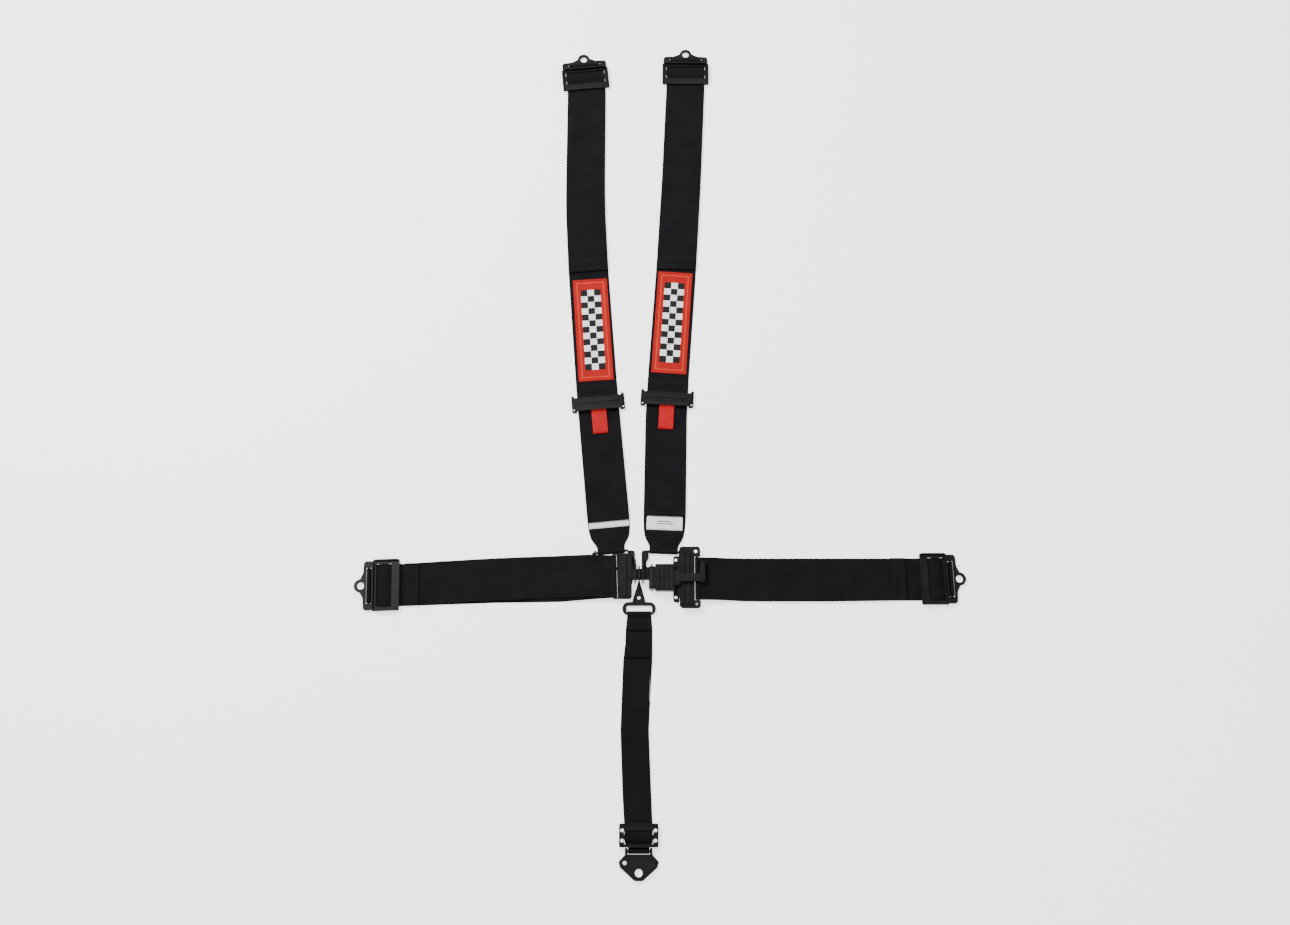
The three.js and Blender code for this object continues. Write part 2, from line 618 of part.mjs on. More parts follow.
function crotch() {
  const { rail, anchor } = CROTCH;
  const reach = rail.y - anchor.y;
  const rows = slideBars(38.4);
  const key = (y, x, width) => ({ s: rail.y - y, x, y, turn: 180, width });
  const plan = planOf([
    key(rail.y + 6, rail.x, 43), key(rail.y - 8, rail.x, 43), key(rail.y - 30, -4.2, CROTCH_BELT),
    key(-150, -6, CROTCH_BELT), key(-268, -8.6, CROTCH_BELT), key(-384, -6.6, CROTCH_BELT),
    key(anchor.y + 50, -5.2, CROTCH_BELT), key(anchor.y + 14, anchor.x, CROTCH_BELT),
    key(anchor.y + 6.5, anchor.x, 35.8), key(anchor.y - 8, anchor.x, 35.8),
  ]);
  const tailS = CROTCH.tail + rail.y;
  addWeb('crotch_webbing', sweep([
    [30, FRONT],
    ...turn(0, BAR_Z, -1),
    [30, LOW, 0],
    [83, LOW, -1],
    [201, LOW, 2.5],
    [317, LOW, 0],
    [reach - 50, LOW],
    [reach - rows.last, LOW],
    [reach - 14, LOW],
    [reach - 6.5, LOW],
    ...turn(reach, BAR_Z, 1).reverse(),
    ...thread(reach, 1, rows),
    [reach - rows.end - 3, FRONT],
    [317, FRONT, 1],
    [201, FRONT, 3.5],
    [170, OVER_LABEL, 3],
    [83, OVER_LABEL, 2],
    [tailS, FRONT + 0.3, 0],
  ], plan));
  addWeb('crotch_label', sweep([
    [92, LOW + WEB / 2 + 0.5, -6.5],
    [152, LOW + WEB / 2 + 0.5, -5.5],
  ], planOf([key(rail.y, -6, 30), key(anchor.y, -6, 30)]), 0.35), COLOUR.label);
  anchorEnd('crotch', { x: anchor.x, y: anchor.y, turn: 180 }, 'crotch');

  const eyeX = EYE_X.crotch;
  const low = BAR_Z - PLATE / 2;
  const high = BAR_Z + PLATE / 2;
  const loop = plate([[-33.9, -47, 11.5], [-33.9, -70.6, 11.5], [25.5, -70.6, 11.5], [25.5, -47, 11.5]], low, high);
  const neck = plate([[-6.2, -11, 0.5], [-2.4, -11, 0.5], [-1.4, -16, 6], [6.5, -43],
    [6.5, -50], [-15.5, -50], [-15.5, -43], [-7.2, -16, 6]], low, high);
  const slot = plate([[-26.2, -53.6, 3], [-26.2, -80], [18.4, -80], [18.4, -53.6, 3]], 0, 12);
  const eyePlate = box(eyeX - 1.5, eyeX + 1.5, -13.4, 15.4, 3, 18.4);
  const gusset = new THREE.ExtrudeGeometry(new THREE.Shape(
    [[-10, 2.8], [-10, 18.4], [-13.4, 18.4], [-30, 5.8], [-30, 2.8]].map(([x, y]) => new THREE.Vector2(x, y)),
  ), { depth: 3, bevelEnabled: false });
  gusset.rotateX(Math.PI / 2).rotateZ(Math.PI / 2).translate(eyeX - 1.5, 0, 0);
  const window = box(eyeX - 4, eyeX + 4, NOSE.y - 10.8, NOSE.y + 10.8, TONGUE_Z - 2.7, TONGUE_Z + 2.7);
  const body = cut(join([loop, neck]), [slot, peg(3, -4.5, -39.5, 0, 9, 16)]);
  const rod = toManifold(bar(BAR_R, -29, 21, rail.y, BAR_Z));
  const link = body.add(rod).add(toManifold(eyePlate)).add(toManifold(gusset));
  addSteel('crotch_link', fromManifold(cut(link, [window])));
}

crotch();

// ---------- tongue ----------
function tongue() {
  const low = TONGUE_Z - NOSE.thick / 2;
  const high = TONGUE_Z + NOSE.thick / 2;
  const left = LAP.left;
  const y0 = left.bar.y - 41;
  const y1 = left.bar.y + 41;
  const body = plate([[-51, y0, 4], [-16.8, y0, 5], [-16.8, -17, 2], [-14.6, NOSE.y - 10],
    [36, NOSE.y - 10, 3], [36, NOSE.y + 10, 3], [-14.6, NOSE.y + 10], [-16.8, 22, 2],
    [-16.8, y1, 5], [-51, y1, 4]], low, high);
  const cuts = [
    plate([[-60, y0 + 2.4], [-41.6, y0 + 2.4], [-44.5, y1 - 2.4], [-60, y1 - 2.4]], low - 1, high + 1),
    box(21.2, 32, NOSE.y - 6, NOSE.y + 6, low - 1, high + 1),
  ];
  const barY = new THREE.CylinderGeometry(BAR_R, BAR_R, 80, 16)
    .rotateZ((left.turn - 90) * deg).translate(left.bar.x, left.bar.y, TONGUE_Z);
  const ribs = [
    plate(roundRect(-38.5, -27, y0 + 4, y1 - 4, 1.5), high - 1, high + 1.6),
    plate(roundRect(-24, -17.6, y0 + 5, y1 - 5, 1.5), high - 1, high + 1.2),
  ];
  const solid = cut(join([body, ...ribs]), cuts).add(toManifold(barY));
  addSteel('tongue_plate', fromManifold(solid));
}

tongue();

// ---------- latch ----------
const LATCH = { pivotX: 18, pivotZ: 18.9, pinR: 2.2, barrel: 4.7, y0: -29.8, y1: 17.6 };

function cylinderY(radius, x, y0, y1, z, sides = 20) {
  return new THREE.CylinderGeometry(radius, radius, y1 - y0, sides).translate(x, (y0 + y1) / 2, z);
}

function latch() {
  const base = { z0: 6.9, z1: 9.6 };
  const right = LAP.right;
  const low = TONGUE_Z - PLATE / 2;
  const high = TONGUE_Z + PLATE / 2;
  const wallIn = [-23.4, 11.4];
  const walls = [[-25.8, wallIn[0]], [wallIn[1], 13.8]];
  const frame = [
    box(13, 62, -25.8, 13.8, base.z0, base.z1),
    plate([[55.9, -48.7, 5], [66.7, -48.7, 3], [66.7, 34.8, 3], [55.9, 34.8, 5]], base.z0, base.z1),
    box(63, 69, -40, 30, base.z0, high),
    plate([[67, -55, 3], [71, -59.4, 3], [101, -59.4, 5], [104.2, -56, 3], [104.2, 48, 4], [101, 51.3, 4],
      [67, 51.3, 5]], low, high),
    plate(roundRect(69, 74.4, -52, 44, 1), high - 1, high + 1.8),
    plate(roundRect(79.4, 84.6, -52, 44, 1), high - 1, high + 1.8),
    plate(roundRect(92, 102, -57.5, -47.5, 3), high - 1, high + 1),
    box(30, 54, -25.8, wallIn[0], 0, base.z1),
  ];
  for (const [y0, y1] of walls) {
    frame.push(new THREE.ExtrudeGeometry(new THREE.Shape([[13, 7], [52, 7], [52, 12], [26, 16], [22.5, 22.4],
      [13.5, 22.4]].map(([x, z]) => new THREE.Vector2(x, z))), { depth: y1 - y0, bevelEnabled: false })
      .rotateX(Math.PI / 2).translate(0, y1, 0));
  }
  const slotY = [right.bar.y - 39.2, right.bar.y + 39.2];
  const cuts = [
    box(93.8, 120, slotY[0], slotY[1], low - 1, high + 1),
    peg(2.8, 61, 27.6, 5, 11, 16),
    peg(2.8, 60.5, -39.5, 5, 11, 16),
    peg(3.2, 96, 42.6, 9, 15, 16),
    cylinderY(LATCH.pinR + 0.3, LATCH.pivotX, -40, 30, LATCH.pivotZ),
  ];
  const lapBar = toManifold(cylinderY(BAR_R, right.bar.x, slotY[0] - 3, slotY[1] + 3, TONGUE_Z, 16));
  addSteel('latch_frame', fromManifold(cut(join(frame), cuts).add(lapBar)));

  addSteel('lever_pin', fromManifold(join([
    cylinderY(LATCH.pinR, LATCH.pivotX, LATCH.y0 - 1, LATCH.y1 + 1, LATCH.pivotZ),
  ])), COLOUR.bright);
  addSteel('adjuster_rivet', fromManifold(join([
    peg(2.6, 97, -52.5, high + 1.1, high + 2.6, 16),
  ])), COLOUR.bright);

  // Leaf spring under the lever.
  const springSide = [[38.5, 10.9], [48, 10.9], [53, 13.2], [47, 17.4], [41, 18.6]];
  addSteel('lever_spring', sweep(springSide, planOf([
    { s: 0, x: 0, y: -6, turn: -90, width: 12 }, { s: 100, x: 100, y: -6, turn: -90, width: 12 },
  ]), 0.8), COLOUR.bright);

  // Lever: barrel, ribbed housing, arm over the lap adjuster, finger lip, hook through the tongue.
  const deck = { z0: 19.6, z1: 22 };
  const lever = [
    cylinderY(LATCH.barrel, LATCH.pivotX, wallIn[0] + 0.5, wallIn[1] - 0.5, LATCH.pivotZ),
    box(LATCH.pivotX, 58, wallIn[0] + 0.5, wallIn[1] - 0.5, deck.z0, deck.z1 + 1.2),
    box(24, 58, LATCH.y0, LATCH.y1, deck.z0 + 2.9, deck.z1 + 1.6),
    box(25, 58, LATCH.y0, LATCH.y0 + 2.4, 10, deck.z1 + 1.6),
    box(25, 58, LATCH.y1 - 2.4, LATCH.y1, 10, deck.z1 + 1.6),
    plate([[56, -20, 1], [66, -20, 3], [69, -13, 3], [103, -13, 3], [105, -14.3, 2], [111.5, -14.3, 3],
      [111.5, 23.5, 3], [104, 23.5, 3], [102, 1, 4], [69, 1, 4], [66, 8, 3], [56, 8, 1]], deck.z0, deck.z1),
    box(109, 111.4, -11, 20, deck.z0, deck.z1 + 1.6),
    box(22.4, 26.6, NOSE.y - 5, NOSE.y + 5, 10.1, deck.z0 + 1),
  ];
  for (let i = 0; i < 4; i += 1) {
    const x = 27 + 8 * i;
    lever.push(box(x, x + 3.4, LATCH.y0 + 1.5, -7.8, deck.z1 + 1, deck.z1 + 3.2));
    lever.push(box(x, x + 3.4, -6.2, LATCH.y1 - 1.5, deck.z1 + 1, deck.z1 + 3.2));
  }
  const solid = cut(join(lever), [cylinderY(LATCH.pinR + 0.3, LATCH.pivotX, -40, 30, LATCH.pivotZ)]);
  addSteel('latch_lever', fromManifold(solid));
}

latch();

const bounds = new THREE.Box3().setFromObject(group);
const shift = new THREE.Vector3(
  -(bounds.min.x + bounds.max.x) / 2,
  -(bounds.min.y + bounds.max.y) / 2,
  -bounds.min.z,
);
for (const mesh of group.children) {
  mesh.geometry.translate(shift.x, shift.y, shift.z);
}

export default group;
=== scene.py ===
import math

import bpy
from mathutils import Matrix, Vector

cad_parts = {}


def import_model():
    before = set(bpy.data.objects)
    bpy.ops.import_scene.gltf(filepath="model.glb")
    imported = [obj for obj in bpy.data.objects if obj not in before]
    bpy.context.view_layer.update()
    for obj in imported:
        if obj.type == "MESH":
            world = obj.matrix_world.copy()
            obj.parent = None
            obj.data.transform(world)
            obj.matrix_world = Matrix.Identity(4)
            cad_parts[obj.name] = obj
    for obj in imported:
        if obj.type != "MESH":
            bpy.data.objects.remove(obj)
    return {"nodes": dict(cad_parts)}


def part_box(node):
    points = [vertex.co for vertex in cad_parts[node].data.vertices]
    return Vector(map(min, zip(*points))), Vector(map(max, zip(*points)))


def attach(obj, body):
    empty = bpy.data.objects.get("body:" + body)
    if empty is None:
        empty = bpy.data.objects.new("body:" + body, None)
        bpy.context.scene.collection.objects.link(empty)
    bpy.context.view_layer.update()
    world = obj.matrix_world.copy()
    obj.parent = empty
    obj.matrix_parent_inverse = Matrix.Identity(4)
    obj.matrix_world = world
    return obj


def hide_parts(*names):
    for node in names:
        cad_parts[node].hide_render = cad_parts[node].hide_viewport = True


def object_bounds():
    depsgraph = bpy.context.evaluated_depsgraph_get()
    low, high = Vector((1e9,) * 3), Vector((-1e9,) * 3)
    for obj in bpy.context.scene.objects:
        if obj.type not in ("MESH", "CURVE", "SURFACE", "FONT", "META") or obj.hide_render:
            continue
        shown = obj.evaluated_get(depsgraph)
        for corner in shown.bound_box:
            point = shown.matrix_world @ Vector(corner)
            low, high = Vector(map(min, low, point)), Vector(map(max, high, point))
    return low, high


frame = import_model()
cad_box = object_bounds()

MM = 0.001
TAU = 2 * math.pi


def middle(node):
    low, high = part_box(node)
    return (Vector(low) + Vector(high)) / 2


# The working origin is the middle of the tongue, found from the lever's pin.
HOME = middle("lever_pin") / MM - Vector((18, -6.1, 18.9))


def world(x, y, z):
    return (HOME + Vector((x, y, z))) * MM


# ---------- camera, floor and light ----------
FLOOR_HALF = 14.0
FLOOR_DROP = 0.0003
FLOOR_GLOW = 1.5


def make_camera():
    data = bpy.data.cameras.new("camera")
    data.lens = 36
    data.sensor_width = 36
    data.sensor_fit = "HORIZONTAL"
    data.clip_end = 60
    cam = bpy.data.objects.new("camera", data)
    bpy.context.scene.collection.objects.link(cam)
    cam.location = world(6.2, -479.6, 2246.1)
    aim = world(6.2, 211.4, 0)
    cam.rotation_euler = (aim - cam.location).to_track_quat("-Z", "Y").to_euler()
    bpy.context.scene.camera = cam


make_camera()


def new_material(name, base, rough, metal=0.0, specular=0.5):
    mat = bpy.data.materials.new(name)
    mat.use_nodes = True
    tree = mat.node_tree
    shader = tree.nodes["Principled BSDF"]
    shader.inputs["Base Color"].default_value = (*base, 1)
    shader.inputs["Roughness"].default_value = rough
    shader.inputs["Metallic"].default_value = metal
    shader.inputs["Specular IOR Level"].default_value = specular
    return mat, tree, shader


class Nodes:
    """Short hand for a material's nodes."""

    def __init__(self, tree):
        self.tree = tree

    def node(self, kind, values=None, **props):
        made = self.tree.nodes.new(kind)
        for key, value in props.items():
            setattr(made, key, value)
        for key, value in (values or {}).items():
            if isinstance(value, bpy.types.NodeSocket):
                self.tree.links.new(value, made.inputs[key])
            else:
                made.inputs[key].default_value = value
        return made

    def math(self, op, a, b=0.0, clamp=False):
        return self.node("ShaderNodeMath", {0: a, 1: b}, operation=op, use_clamp=clamp).outputs[0]

    def noise(self, vector, scale, detail=3.0, rough=0.5):
        return self.node("ShaderNodeTexNoise", {"Vector": vector, "Scale": scale, "Detail": detail,
                                                "Roughness": rough}).outputs["Fac"]

    def ramp(self, fac, stops):
        made = self.node("ShaderNodeValToRGB", {"Fac": fac})
        points = made.color_ramp.elements
        while len(points) < len(stops):
            points.new(0.5)
        for point, (at, colour) in zip(points, stops):
            point.position = at
            point.color = (*colour, 1)
        return made.outputs["Color"]

    def bump(self, height, strength, distance, normal=None):
        values = {"Height": height, "Strength": strength, "Distance": distance}
        if normal is not None:
            values["Normal"] = normal
        return self.node("ShaderNodeBump", values).outputs["Normal"]


def object_space(nodes, turn):
    """Object coordinates turned so that x runs across the belt and y along it."""
    coords = nodes.node("ShaderNodeTexCoord").outputs["Object"]
    mapped = nodes.node("ShaderNodeMapping", {"Vector": coords, "Rotation": (0, 0, -math.radians(turn))})
    return mapped.outputs["Vector"]


def webbing_material(name, turn, base=(0.0042, 0.0042, 0.0052), pitch=0.0022, rough=0.86):
    """Woven belt: lengthwise ribs crossed by fine picks, a little wear and lint, painted shade in the weave's
    hollows.
    """
    mat, tree, shader = new_material(name, base, rough, specular=0.08)
    n = Nodes(tree)
    place = object_space(n, turn)
    axes = n.node("ShaderNodeSeparateXYZ", {"Vector": place}).outputs
    across = n.math("MULTIPLY", axes[0], TAU / pitch)
    along = n.math("MULTIPLY", axes[1], TAU / (pitch * 0.62))
    ribs = n.math("ABSOLUTE", n.math("SINE", n.math("MULTIPLY", across, 0.5)))
    zigzag = n.math("ADD", along, n.math("MULTIPLY", n.math("PINGPONG", across, math.pi), 1.6))
    picks = n.math("MULTIPLY", n.math("SINE", zigzag), 0.5)
    weave = n.math("ADD", n.math("MULTIPLY", ribs, 0.7), n.math("MULTIPLY", picks, 0.45))
    fuzz = n.noise(place, 2600.0, 2.0)
    height = n.math("ADD", weave, n.math("MULTIPLY", fuzz, 0.5))
    wave = n.noise(place, 16.0, 2.0)
    coarse = n.bump(wave, 0.35, 0.004)
    normal = n.bump(height, 0.55, 0.00028, coarse)
    tree.links.new(normal, shader.inputs["Normal"])
    # painted highlight and shade: the colour follows the weave's height, lighter on raised yarns and darker
    # in the hollows, plus random tone
    painted_weave_shade_and_tone = n.math("ADD", n.math("MULTIPLY", weave, 0.45), n.math("MULTIPLY", n.noise(place, 30.0, 4.0), 0.9))
    dark = tuple(c * 0.62 for c in base)
    light = tuple(min(1.0, c * 1.7) for c in base)
    tree.links.new(n.ramp(painted_weave_shade_and_tone, [(0.25, dark), (0.95, light)]), shader.inputs["Base Color"])
    shine = n.node("ShaderNodeMapRange", {"Value": n.noise(place, 55.0, 3.0), "To Min": rough - 0.1,
                                          "To Max": rough + 0.1}).outputs[0]
    tree.links.new(shine, shader.inputs["Roughness"])
    shader.inputs["Sheen Weight"].default_value = 0.02
    shader.inputs["Sheen Roughness"].default_value = 0.45
    return mat


def steel_material(name, base, rough, metal, grain):
    """Coated or bare steel: fine powder grain, rubbed patches, and a painted highlight making edges a little
    brighter.
    """
    mat, tree, shader = new_material(name, base, rough, metal, 0.12)
    n = Nodes(tree)
    place = n.node("ShaderNodeTexCoord").outputs["Object"]
    fine = n.noise(place, 1500.0, 3.0)
    broad = n.noise(place, 60.0, 4.0, 0.6)
    normal = n.bump(fine, grain, 0.0002, n.bump(broad, 0.12, 0.0006))
    tree.links.new(normal, shader.inputs["Normal"])
    # painted edge highlight: convex edges (pointiness) made lighter in the colour, more so inside the broad
    # patches
    point = n.node("ShaderNodeNewGeometry").outputs["Pointiness"]
    edge = n.node("ShaderNodeMapRange", {"Value": point, "From Min": 0.52, "From Max": 0.6}).outputs[0]
    painted_edge_highlight = n.math("MULTIPLY", edge, broad, True)
    mix = n.math("ADD", n.math("MULTIPLY", broad, 0.6), n.math("MULTIPLY", painted_edge_highlight, 0.8), True)
    dark = tuple(c * 0.75 for c in base)
    light = tuple(min(1.0, c * 2.0 + 0.004) for c in base)
    tree.links.new(n.ramp(mix, [(0.15, dark), (1.0, light)]), shader.inputs["Base Color"])
    gloss = n.node("ShaderNodeMapRange", {"Value": broad, "To Min": rough - 0.08,
                                          "To Max": rough + 0.14}).outputs[0]
    tree.links.new(gloss, shader.inputs["Roughness"])
    return mat


def cloth_material(name, base, turn=0.0, pitch=0.0011, rough=0.75, sheen=0.2):
    """Fine tape, satin or thread, with painted shade in the weave's hollows."""
    mat, tree, shader = new_material(name, base, rough, specular=0.15)
    n = Nodes(tree)
    place = object_space(n, turn)
    axes = n.node("ShaderNodeSeparateXYZ", {"Vector": place}).outputs
    across = n.math("SINE", n.math("MULTIPLY", axes[0], TAU / pitch))
    along = n.math("SINE", n.math("MULTIPLY", axes[1], TAU / (pitch * 0.8)))
    weave = n.math("ADD", across, along)
    height = n.math("ADD", weave, n.noise(place, 1800.0, 2.0))
    tree.links.new(n.bump(height, 0.4, 0.00012), shader.inputs["Normal"])
    # painted highlight and shade: the colour follows the weave's height, lighter on raised yarns and darker
    # in the hollows, plus random tone
    painted_weave_shade_and_tone = n.math("ADD", n.math("MULTIPLY", weave, 0.12), n.noise(place, 60.0, 4.0))
    dark = tuple(c * 0.82 for c in base)
    light = tuple(min(1.0, c * 1.14) for c in base)
    tree.links.new(n.ramp(painted_weave_shade_and_tone, [(0.2, dark), (0.85, light)]), shader.inputs["Base Color"])
    shader.inputs["Sheen Weight"].default_value = sheen
    return mat


def floor_material():
    mat, tree, shader = new_material("floor", (0.93, 0.93, 0.935), 0.6, specular=0.2)
    n = Nodes(tree)
    place = n.node("ShaderNodeTexCoord").outputs["Object"]
    spots = n.noise(place, 3.0, 2.0)
    tree.links.new(n.ramp(spots, [(0.3, (0.925, 0.925, 0.93)), (0.7, (0.935, 0.935, 0.94))]),
                   shader.inputs["Base Color"])
    shader.inputs["Emission Color"].default_value = (1, 1, 1, 1)
    shader.inputs["Emission Strength"].default_value = FLOOR_GLOW
    return mat


def link(mesh, name, mats):
    piece = bpy.data.objects.new(name, mesh)
    bpy.context.scene.collection.objects.link(piece)
    for mat in mats:
        mesh.materials.append(mat)
    return piece


def make_stage():
    mesh = bpy.data.meshes.new("floor")
    corners = [(-FLOOR_HALF, -FLOOR_HALF, 0), (FLOOR_HALF, -FLOOR_HALF, 0),
               (FLOOR_HALF, FLOOR_HALF, 0), (-FLOOR_HALF, FLOOR_HALF, 0)]
    mesh.from_pydata(corners, [], [(0, 1, 2, 3)])
    floor = link(mesh, "floor", [floor_material()])
    floor.location.z = cad_box[0][2] - FLOOR_DROP
    lamps = [
        ("key", (-1.5, 1.1, 2.4), 1.2, 130),
        ("fill", (1.9, -0.8, 2.6), 2.6, 16),
        ("back", (0.3, 2.6, 2.2), 2.2, 14),
    ]
    for name, place, size, power in lamps:
        data = bpy.data.lights.new(name, "AREA")
        data.shape = "DISK"
        data.size = size
        data.energy = power
        lamp = bpy.data.objects.new(name, data)
        bpy.context.scene.collection.objects.link(lamp)
        lamp.location = place
        lamp.rotation_euler = (Vector((0, 0, 0)) - lamp.location).to_track_quat("-Z", "Y").to_euler()
    sky = bpy.data.worlds.new("sky")
    sky.use_nodes = True
    back = sky.node_tree.nodes["Background"]
    back.inputs["Color"].default_value = (1, 1, 1, 1)
    back.inputs["Strength"].default_value = 0.8
    bpy.context.scene.world = sky


make_stage()

# ---------- sizes, as in the CAD ----------
BELT, CROTCH_BELT, WEB, GAP = 76.2, 47.6, 1.6, 0.4
BAR_R, BAR_Z, TONGUE_Z = 2.2, 4.3, 12.0
TURN_R = BAR_R + GAP + WEB / 2
LOW = BAR_Z - TURN_R
FRONT = LOW + WEB + GAP
OVER_LABEL = FRONT + 0.6
SLOT = 64.0
GATHERED = SLOT - 2.4
SLIDE_LENGTH = 48.0
SLIDE_START = 6.2
HEM_GAP = 0.35
LABEL_Z = LOW + WEB / 2 + 0.3
ON_BELT = FRONT + WEB / 2 + 0.05
ON_LOOP = FRONT + WEB / 2 + 0.25
ON_HEM = FRONT + WEB / 2 + 2.0
ON_TAIL_HEM = OVER_LABEL + WEB / 2 + 2.0
LAYER_SPLIT = 1.8
LABEL_THICK = 0.34
TAB_WIDTH = 27.5
ADJUSTER = {"upper": 8, "lock": -5, "lower": -13, "lower_z": 7.3, "lower_r": 1.3}
SLIDE_TOP = 6.1

THREAD = cloth_material("thread_black", (0.010, 0.010, 0.012), 45, 0.0009, 0.6, 0.03)
STEEL = steel_material("steel_black", (0.004, 0.004, 0.0048), 0.4, 0.0, 0.3)
STEEL_DARK = steel_material("steel_dark", (0.003, 0.003, 0.0036), 0.34, 0.0, 0.2)
BRIGHT = steel_material("steel_plain", (0.16, 0.16, 0.165), 0.34, 0.9, 0.15)


# ---------- belts ----------
def plan_of(keys):
    """keys are (s, x, y, turn, width). The middle line, cross line and width at a distance s."""
    def at(s):
        i = 0
        while i < len(keys) - 2 and s > keys[i + 1][0]:
            i += 1
        a, b = keys[i], keys[i + 1]
        t = (s - a[0]) / (b[0] - a[0])
        held = min(1.0, max(0.0, t))
        return (a[1] + (b[1] - a[1]) * t, a[2] + (b[2] - a[2]) * t,
                a[3] + (b[3] - a[3]) * held, a[4] + (b[4] - a[4]) * held)
    return at


def smooth_plan(at, bars, reach=26.0):
    """The same plan with its corners rounded, exact near each bar."""
    def eased(s):
        free = min([abs(s - b) for b in bars]) - 12
        window = max(0.0, min(reach, free * 0.6))
        if window < 1:
            return at(s)
        total = [0.0] * 4
        offsets = [k / 4 for k in range(-4, 5)]
        for k in offsets:
            for i, value in enumerate(at(s + k * window)):
                total[i] += value
        return tuple(value / len(offsets) for value in total)
    return eased


def keys_at(origin, x, y, turn, offsets):
    a = math.radians(turn)
    return [(origin + d, x - math.sin(a) * d, y + math.cos(a) * d, turn, width) for d, width in offsets]


def turn_path(s, z, away, radius=TURN_R, rise=1.35, start=5.0, steps=20):
    """The belt's way round a bar seen from its edge: in at the front, out underneath."""
    dist = math.hypot(start, rise)
    lean = math.atan2(rise, start) + math.asin(radius / dist)
    first = math.pi / 2 + lean
    points = [(s - away * start, z - rise)]
    for k in range(steps + 1):
        angle = first + (-math.pi / 2 - first) * k / steps
        points.append((s + away * radius * math.cos(angle), z + radius * math.sin(angle)))
    return points


def slide_rows(length):
    """Distances from the anchor's bar to the slots of a slide of this length."""
    gap, first, width = length * 0.2, SLIDE_START + length * 0.14, length * 0.17
    second = first + gap
    return {"first": first, "middle": second, "bar": width, "last": second + width + gap,
            "end": SLIDE_START + length}


def thread_path(reach, rows):
    """The front layer's way over the slide's middle bar."""
    high = SLIDE_TOP + GAP + WEB / 2
    points = [(rows["first"] + 0.4, FRONT), (rows["middle"] + 0.1, high),
              (rows["middle"] + rows["bar"] - 0.1, high), (rows["last"] - 0.4, FRONT)]
    return [(reach - d, z) for d, z in points]


def anchor_keys(reach, belt):
    """The wide belt's keys at its anchor, where it narrows to pass the bracket's slot."""
    return keys_at(reach, *belt["anchor"], belt["anchor_tilt"],
                   [(-60, BELT), (-12.6, BELT), (-6.5, GATHERED), (8, GATHERED)])


def anchor_path(reach, rows, narrow=12.6):
    """Under the slide, round the anchor's bar and back through the slide in front."""
    return [(reach - rows["last"], LOW), (reach - narrow, LOW), (reach - 6.5, LOW),
            *reversed(turn_path(reach, BAR_Z, 1)), *thread_path(reach, rows)]


def fold_end(s, z, back, length=26.0):
    """A hem: the end turned over on itself, back is +1 when the hem runs towards +s."""
    radius = (WEB + HEM_GAP) / 2
    points = [(s + back * radius, z)]
    for k in range(1, 9):
        angle = -math.pi / 2 + math.pi * k / 8
        points.append((s + back * (radius - radius * math.cos(angle)), z + radius + radius * math.sin(angle)))
    points.append((s + back * length, z + 2 * radius))
    return points


def fine_path(points, step=5.0, cut=0.9):
    """Rounds each corner by a little and divides long runs."""
    full = [tuple(p) + (0.0,) * (4 - len(p)) for p in points]
    rounded = [full[0]]
    for before, here, after in zip(full, full[1:], full[2:]):
        one, two = math.dist(before[:2], here[:2]), math.dist(here[:2], after[:2])
        if min(one, two) < 2.5 * cut:
            rounded.append(here)
            continue
        for other, length in ((before, one), (after, two)):
            t = cut / length
            rounded.append(tuple(h + (o - h) * t for h, o in zip(here, other)))
    rounded.append(full[-1])
    fine = [rounded[0]]
    for a, b in zip(rounded, rounded[1:]):
        count = max(1, math.ceil(math.dist(a[:2], b[:2]) / step))
        fine += [tuple(p + (q - p) * k / count for p, q in zip(a, b)) for k in range(1, count + 1)]
    return fine


COLUMNS = 22


def cross_section():
    """Points round the belt's edge, as (across from -1 to 1, through from -1 to 1)."""
    inner = [-1 + 2 * (k + 0.5) / COLUMNS for k in range(COLUMNS)]
    across = [-0.992] + inner + [0.992]
    bottom = [(u, -1.0) for u in across]
    top = [(u, 1.0) for u in reversed(across)]
    return bottom + [(1.0, 0.0)] + top + [(-1.0, 0.0)]


